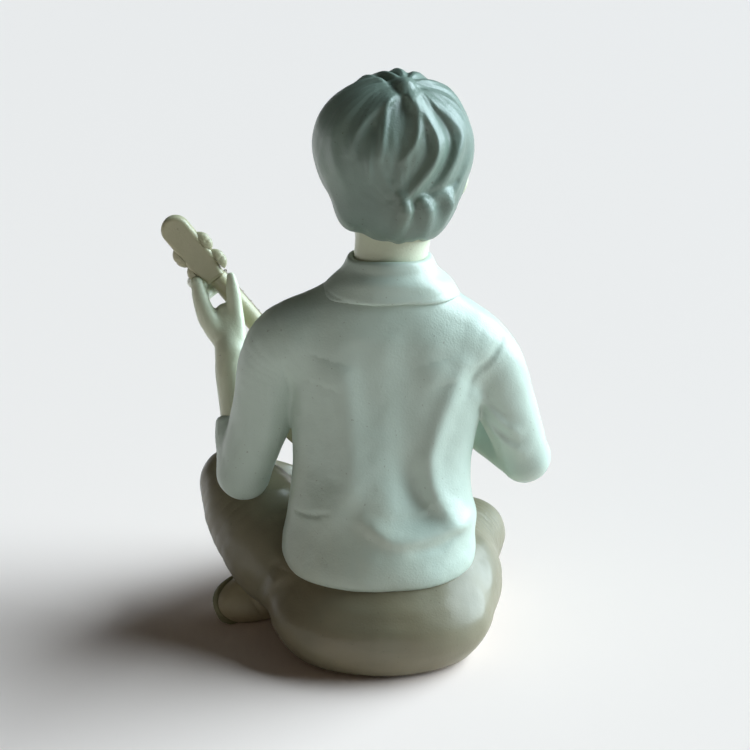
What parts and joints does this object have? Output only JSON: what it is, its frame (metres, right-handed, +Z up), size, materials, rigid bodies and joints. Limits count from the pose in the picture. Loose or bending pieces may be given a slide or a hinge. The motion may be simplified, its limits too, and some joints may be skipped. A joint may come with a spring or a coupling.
{
  "type": "porcelain figurine",
  "caption": "Glazed porcelain figurine of a boy seated cross-legged, head bowed, playing a small guitar held in front of the chest; stands on its own flat underside.",
  "frame": {"origin": "centre of the figurine's bounding box, on the surface that it stands on", "axes": "+Z up, along the figurine's longest extent; -Y the way the boy faces; +X to his left"},
  "size_m": [0.1308, 0.1204, 0.1933],
  "materials": {
    "shirt": "blue-white satin glaze",
    "skin": "cream satin glaze",
    "hair": "slate-green satin glaze",
    "trousers": "taupe satin glaze",
    "shoe": "ochre satin glaze",
    "sole": "olive satin glaze",
    "guitar": "cream-yellow satin glaze",
    "guitar_trim": "brown satin glaze"
  },
  "bodies": {
    "root": {"trouser_seat": "trousers", "left_thigh": "trousers", "right_thigh": "trousers", "left_shin": "trousers", "right_shin": "trousers", "left_shoe_upper": "shoe", "left_shoe_sole": "sole", "right_shoe_upper": "shoe", "right_shoe_sole": "sole", "shirt_torso": "shirt", "shirt_collar": "shirt", "left_sleeve": "shirt", "right_sleeve": "shirt", "left_forearm_and_hand": "skin", "right_forearm_and_hand": "skin", "head_and_neck": "skin", "hair": "hair", "guitar_back_and_sides": "guitar", "guitar_soundboard": "guitar", "guitar_neck": "guitar", "guitar_headstock": "guitar", "guitar_fingerboard": "guitar_trim", "guitar_bridge": "guitar_trim", "tuning_peg_lower_left": "guitar", "tuning_peg_lower_right": "guitar", "tuning_peg_upper_left": "guitar", "tuning_peg_upper_right": "guitar"}
  },
  "joints": []
}
